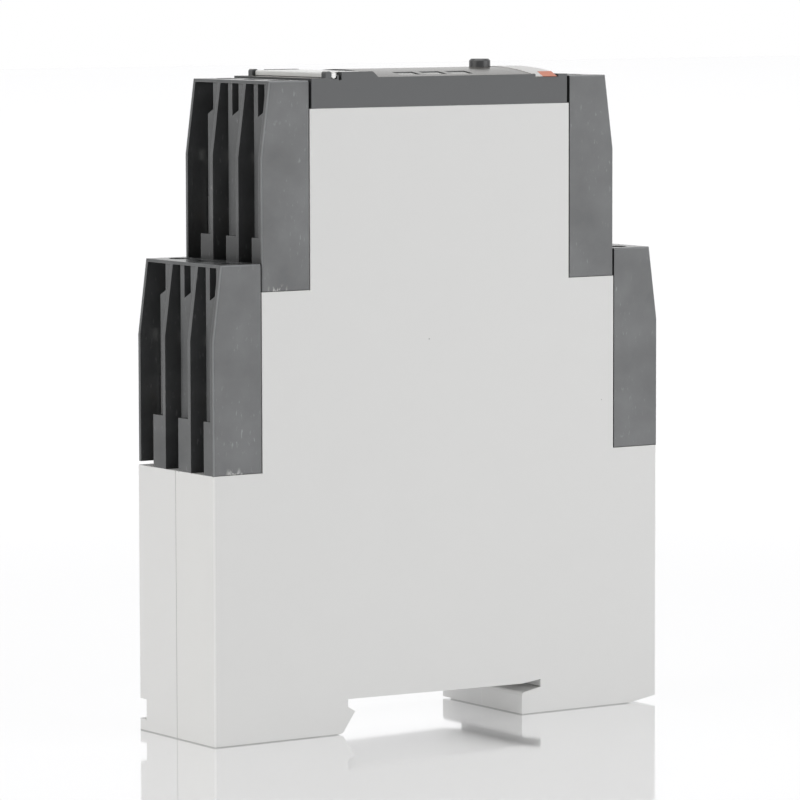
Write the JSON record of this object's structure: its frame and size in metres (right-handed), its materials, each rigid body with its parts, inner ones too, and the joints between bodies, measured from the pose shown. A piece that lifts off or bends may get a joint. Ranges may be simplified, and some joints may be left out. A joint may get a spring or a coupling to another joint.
{
  "type": "monitoring relay",
  "caption": "Slim rail-mounted monitoring relay with stepped screw-terminal tiers at both ends, a crowned front, a hinged marker flap over setting sliders and a push button.",
  "frame": {"origin": "centre of the bounding box's bottom face, on the plane of the rail-side feet", "axes": "+Z from the rail side to the front face, X along the housing's height, Y across its width"},
  "size_m": [0.0856, 0.0226, 0.1058],
  "materials": {
    "housing_plastic": "fine matt moulded, light grey",
    "terminal_plastic": "satin moulded, dark grey",
    "cover_plastic": "satin moulded, dark grey",
    "flap_plastic": "smooth white",
    "button_plastic": "satin dark grey",
    "screw_steel": "zinc plated",
    "cage_steel": "zinc plated",
    "bar_brass": "tinned",
    "window_plastic": "diffusing, clear grey",
    "light_plastic": "milky",
    "board_laminate": "solder resist, green",
    "slider_plastic": "white",
    "switch_plastic": "black",
    "relay_plastic": "black case",
    "core_iron": "ferrite and tape",
    "capacitor_can": "sleeved can"
  },
  "bodies": {
    "housing": {"capacitor_1": "capacitor_can", "capacitor_2": "capacitor_can", "contact_bars_lower_left": "bar_brass", "contact_bars_lower_right": "bar_brass", "contact_bars_upper_left": "bar_brass", "contact_bars_upper_right": "bar_brass", "controller_chip": "switch_plastic", "front_board": "board_laminate", "front_cover": "cover_plastic", "housing_shell_far": "housing_plastic", "housing_shell_near": "housing_plastic", "main_board": "board_laminate", "output_relay_1": "relay_plastic", "output_relay_2": "relay_plastic", "setting_switch_body": "switch_plastic", "status_lights": "light_plastic", "status_windows": "window_plastic", "tact_switch_body": "switch_plastic", "terminal_block_lower_left": "terminal_plastic", "terminal_block_lower_right": "terminal_plastic", "terminal_block_upper_left": "terminal_plastic", "terminal_block_upper_right": "terminal_plastic", "transformer": "core_iron"},
    "screw_lower_left_1": {"clamp_screw_lower_left_1": "screw_steel"},
    "cage_lower_left_1": {"lift_cage_lower_left_1": "cage_steel"},
    "screw_lower_left_2": {"clamp_screw_lower_left_2": "screw_steel"},
    "cage_lower_left_2": {"lift_cage_lower_left_2": "cage_steel"},
    "screw_lower_left_3": {"clamp_screw_lower_left_3": "screw_steel"},
    "cage_lower_left_3": {"lift_cage_lower_left_3": "cage_steel"},
    "screw_lower_right_1": {"clamp_screw_lower_right_1": "screw_steel"},
    "cage_lower_right_1": {"lift_cage_lower_right_1": "cage_steel"},
    "screw_lower_right_2": {"clamp_screw_lower_right_2": "screw_steel"},
    "cage_lower_right_2": {"lift_cage_lower_right_2": "cage_steel"},
    "screw_lower_right_3": {"clamp_screw_lower_right_3": "screw_steel"},
    "cage_lower_right_3": {"lift_cage_lower_right_3": "cage_steel"},
    "screw_upper_left_1": {"clamp_screw_upper_left_1": "screw_steel"},
    "cage_upper_left_1": {"lift_cage_upper_left_1": "cage_steel"},
    "screw_upper_left_2": {"clamp_screw_upper_left_2": "screw_steel"},
    "cage_upper_left_2": {"lift_cage_upper_left_2": "cage_steel"},
    "screw_upper_left_3": {"clamp_screw_upper_left_3": "screw_steel"},
    "cage_upper_left_3": {"lift_cage_upper_left_3": "cage_steel"},
    "screw_upper_right_1": {"clamp_screw_upper_right_1": "screw_steel"},
    "cage_upper_right_1": {"lift_cage_upper_right_1": "cage_steel"},
    "screw_upper_right_2": {"clamp_screw_upper_right_2": "screw_steel"},
    "cage_upper_right_2": {"lift_cage_upper_right_2": "cage_steel"},
    "screw_upper_right_3": {"clamp_screw_upper_right_3": "screw_steel"},
    "cage_upper_right_3": {"lift_cage_upper_right_3": "cage_steel"},
    "flap": {"marker_flap": "flap_plastic"},
    "slider_1": {"setting_slider_1": "slider_plastic"},
    "slider_2": {"setting_slider_2": "slider_plastic"},
    "slider_3": {"setting_slider_3": "slider_plastic"},
    "slider_4": {"setting_slider_4": "slider_plastic"},
    "button": {"push_button": "button_plastic", "tact_plunger": "button_plastic"}
  },
  "joints": [
    {"name": "screw_turn_lower_left_1", "type": "hinge", "parent": "housing", "child": "screw_lower_left_1", "pos_m": [-0.03712, -0.0075, 0.05735], "axis": [0, 0, 1], "range_deg": [-1873, 0]},
    {"name": "cage_lift_lower_left_1", "type": "slide", "parent": "housing", "child": "cage_lower_left_1", "axis": [0, 0, 1], "range_m": [0, 0.0026]},
    {"name": "screw_turn_lower_left_2", "type": "hinge", "parent": "housing", "child": "screw_lower_left_2", "pos_m": [-0.03712, 0, 0.05735], "axis": [0, 0, 1], "range_deg": [-1873, 0]},
    {"name": "cage_lift_lower_left_2", "type": "slide", "parent": "housing", "child": "cage_lower_left_2", "axis": [0, 0, 1], "range_m": [0, 0.0026]},
    {"name": "screw_turn_lower_left_3", "type": "hinge", "parent": "housing", "child": "screw_lower_left_3", "pos_m": [-0.03712, 0.0075, 0.05735], "axis": [0, 0, 1], "range_deg": [-1873, 0]},
    {"name": "cage_lift_lower_left_3", "type": "slide", "parent": "housing", "child": "cage_lower_left_3", "axis": [0, 0, 1], "range_m": [0, 0.0026]},
    {"name": "screw_turn_lower_right_1", "type": "hinge", "parent": "housing", "child": "screw_lower_right_1", "pos_m": [0.03712, -0.0075, 0.05735], "axis": [0, 0, 1], "range_deg": [-1873, 0]},
    {"name": "cage_lift_lower_right_1", "type": "slide", "parent": "housing", "child": "cage_lower_right_1", "axis": [0, 0, 1], "range_m": [0, 0.0026]},
    {"name": "screw_turn_lower_right_2", "type": "hinge", "parent": "housing", "child": "screw_lower_right_2", "pos_m": [0.03712, 0, 0.05735], "axis": [0, 0, 1], "range_deg": [-1873, 0]},
    {"name": "cage_lift_lower_right_2", "type": "slide", "parent": "housing", "child": "cage_lower_right_2", "axis": [0, 0, 1], "range_m": [0, 0.0026]},
    {"name": "screw_turn_lower_right_3", "type": "hinge", "parent": "housing", "child": "screw_lower_right_3", "pos_m": [0.03712, 0.0075, 0.05735], "axis": [0, 0, 1], "range_deg": [-1873, 0]},
    {"name": "cage_lift_lower_right_3", "type": "slide", "parent": "housing", "child": "cage_lower_right_3", "axis": [0, 0, 1], "range_m": [0, 0.0026]},
    {"name": "screw_turn_upper_left_1", "type": "hinge", "parent": "housing", "child": "screw_upper_left_1", "pos_m": [-0.02814, -0.0075, 0.0855], "axis": [0, 0, 1], "range_deg": [-1873, 0]},
    {"name": "cage_lift_upper_left_1", "type": "slide", "parent": "housing", "child": "cage_upper_left_1", "axis": [0, 0, 1], "range_m": [0, 0.0026]},
    {"name": "screw_turn_upper_left_2", "type": "hinge", "parent": "housing", "child": "screw_upper_left_2", "pos_m": [-0.02814, 0, 0.0855], "axis": [0, 0, 1], "range_deg": [-1873, 0]},
    {"name": "cage_lift_upper_left_2", "type": "slide", "parent": "housing", "child": "cage_upper_left_2", "axis": [0, 0, 1], "range_m": [0, 0.0026]},
    {"name": "screw_turn_upper_left_3", "type": "hinge", "parent": "housing", "child": "screw_upper_left_3", "pos_m": [-0.02814, 0.0075, 0.0855], "axis": [0, 0, 1], "range_deg": [-1873, 0]},
    {"name": "cage_lift_upper_left_3", "type": "slide", "parent": "housing", "child": "cage_upper_left_3", "axis": [0, 0, 1], "range_m": [0, 0.0026]},
    {"name": "screw_turn_upper_right_1", "type": "hinge", "parent": "housing", "child": "screw_upper_right_1", "pos_m": [0.02814, -0.0075, 0.0855], "axis": [0, 0, 1], "range_deg": [-1873, 0]},
    {"name": "cage_lift_upper_right_1", "type": "slide", "parent": "housing", "child": "cage_upper_right_1", "axis": [0, 0, 1], "range_m": [0, 0.0026]},
    {"name": "screw_turn_upper_right_2", "type": "hinge", "parent": "housing", "child": "screw_upper_right_2", "pos_m": [0.02814, 0, 0.0855], "axis": [0, 0, 1], "range_deg": [-1873, 0]},
    {"name": "cage_lift_upper_right_2", "type": "slide", "parent": "housing", "child": "cage_upper_right_2", "axis": [0, 0, 1], "range_m": [0, 0.0026]},
    {"name": "screw_turn_upper_right_3", "type": "hinge", "parent": "housing", "child": "screw_upper_right_3", "pos_m": [0.02814, 0.0075, 0.0855], "axis": [0, 0, 1], "range_deg": [-1873, 0]},
    {"name": "cage_lift_upper_right_3", "type": "slide", "parent": "housing", "child": "cage_upper_right_3", "axis": [0, 0, 1], "range_m": [0, 0.0026]},
    {"name": "flap_swing", "type": "hinge", "parent": "housing", "child": "flap", "pos_m": [-0.02025, 0, 0.1038], "axis": [0, -1, 0], "range_deg": [0, 100]},
    {"name": "slider_slide_1", "type": "slide", "parent": "housing", "child": "slider_1", "axis": [1, 0, 0], "range_m": [0, 0.0018]},
    {"name": "slider_slide_2", "type": "slide", "parent": "housing", "child": "slider_2", "axis": [1, 0, 0], "range_m": [0, 0.0018]},
    {"name": "slider_slide_3", "type": "slide", "parent": "housing", "child": "slider_3", "axis": [1, 0, 0], "range_m": [0, 0.0018]},
    {"name": "slider_slide_4", "type": "slide", "parent": "housing", "child": "slider_4", "axis": [1, 0, 0], "range_m": [0, 0.0018]},
    {"name": "button_press", "type": "slide", "parent": "housing", "child": "button", "axis": [0, 0, -1], "range_m": [0, 0.0005], "stiffness_N_per_m": 3000, "springref_m": -0.0001}
  ],
  "couplings": [
    {"joint": "screw_turn_lower_left_1", "follows": "cage_lift_lower_left_1", "rad_per_m": -12566},
    {"joint": "screw_turn_lower_left_2", "follows": "cage_lift_lower_left_2", "rad_per_m": -12566},
    {"joint": "screw_turn_lower_left_3", "follows": "cage_lift_lower_left_3", "rad_per_m": -12566},
    {"joint": "screw_turn_lower_right_1", "follows": "cage_lift_lower_right_1", "rad_per_m": -12566},
    {"joint": "screw_turn_lower_right_2", "follows": "cage_lift_lower_right_2", "rad_per_m": -12566},
    {"joint": "screw_turn_lower_right_3", "follows": "cage_lift_lower_right_3", "rad_per_m": -12566},
    {"joint": "screw_turn_upper_left_1", "follows": "cage_lift_upper_left_1", "rad_per_m": -12566},
    {"joint": "screw_turn_upper_left_2", "follows": "cage_lift_upper_left_2", "rad_per_m": -12566},
    {"joint": "screw_turn_upper_left_3", "follows": "cage_lift_upper_left_3", "rad_per_m": -12566},
    {"joint": "screw_turn_upper_right_1", "follows": "cage_lift_upper_right_1", "rad_per_m": -12566},
    {"joint": "screw_turn_upper_right_2", "follows": "cage_lift_upper_right_2", "rad_per_m": -12566},
    {"joint": "screw_turn_upper_right_3", "follows": "cage_lift_upper_right_3", "rad_per_m": -12566}
  ]
}
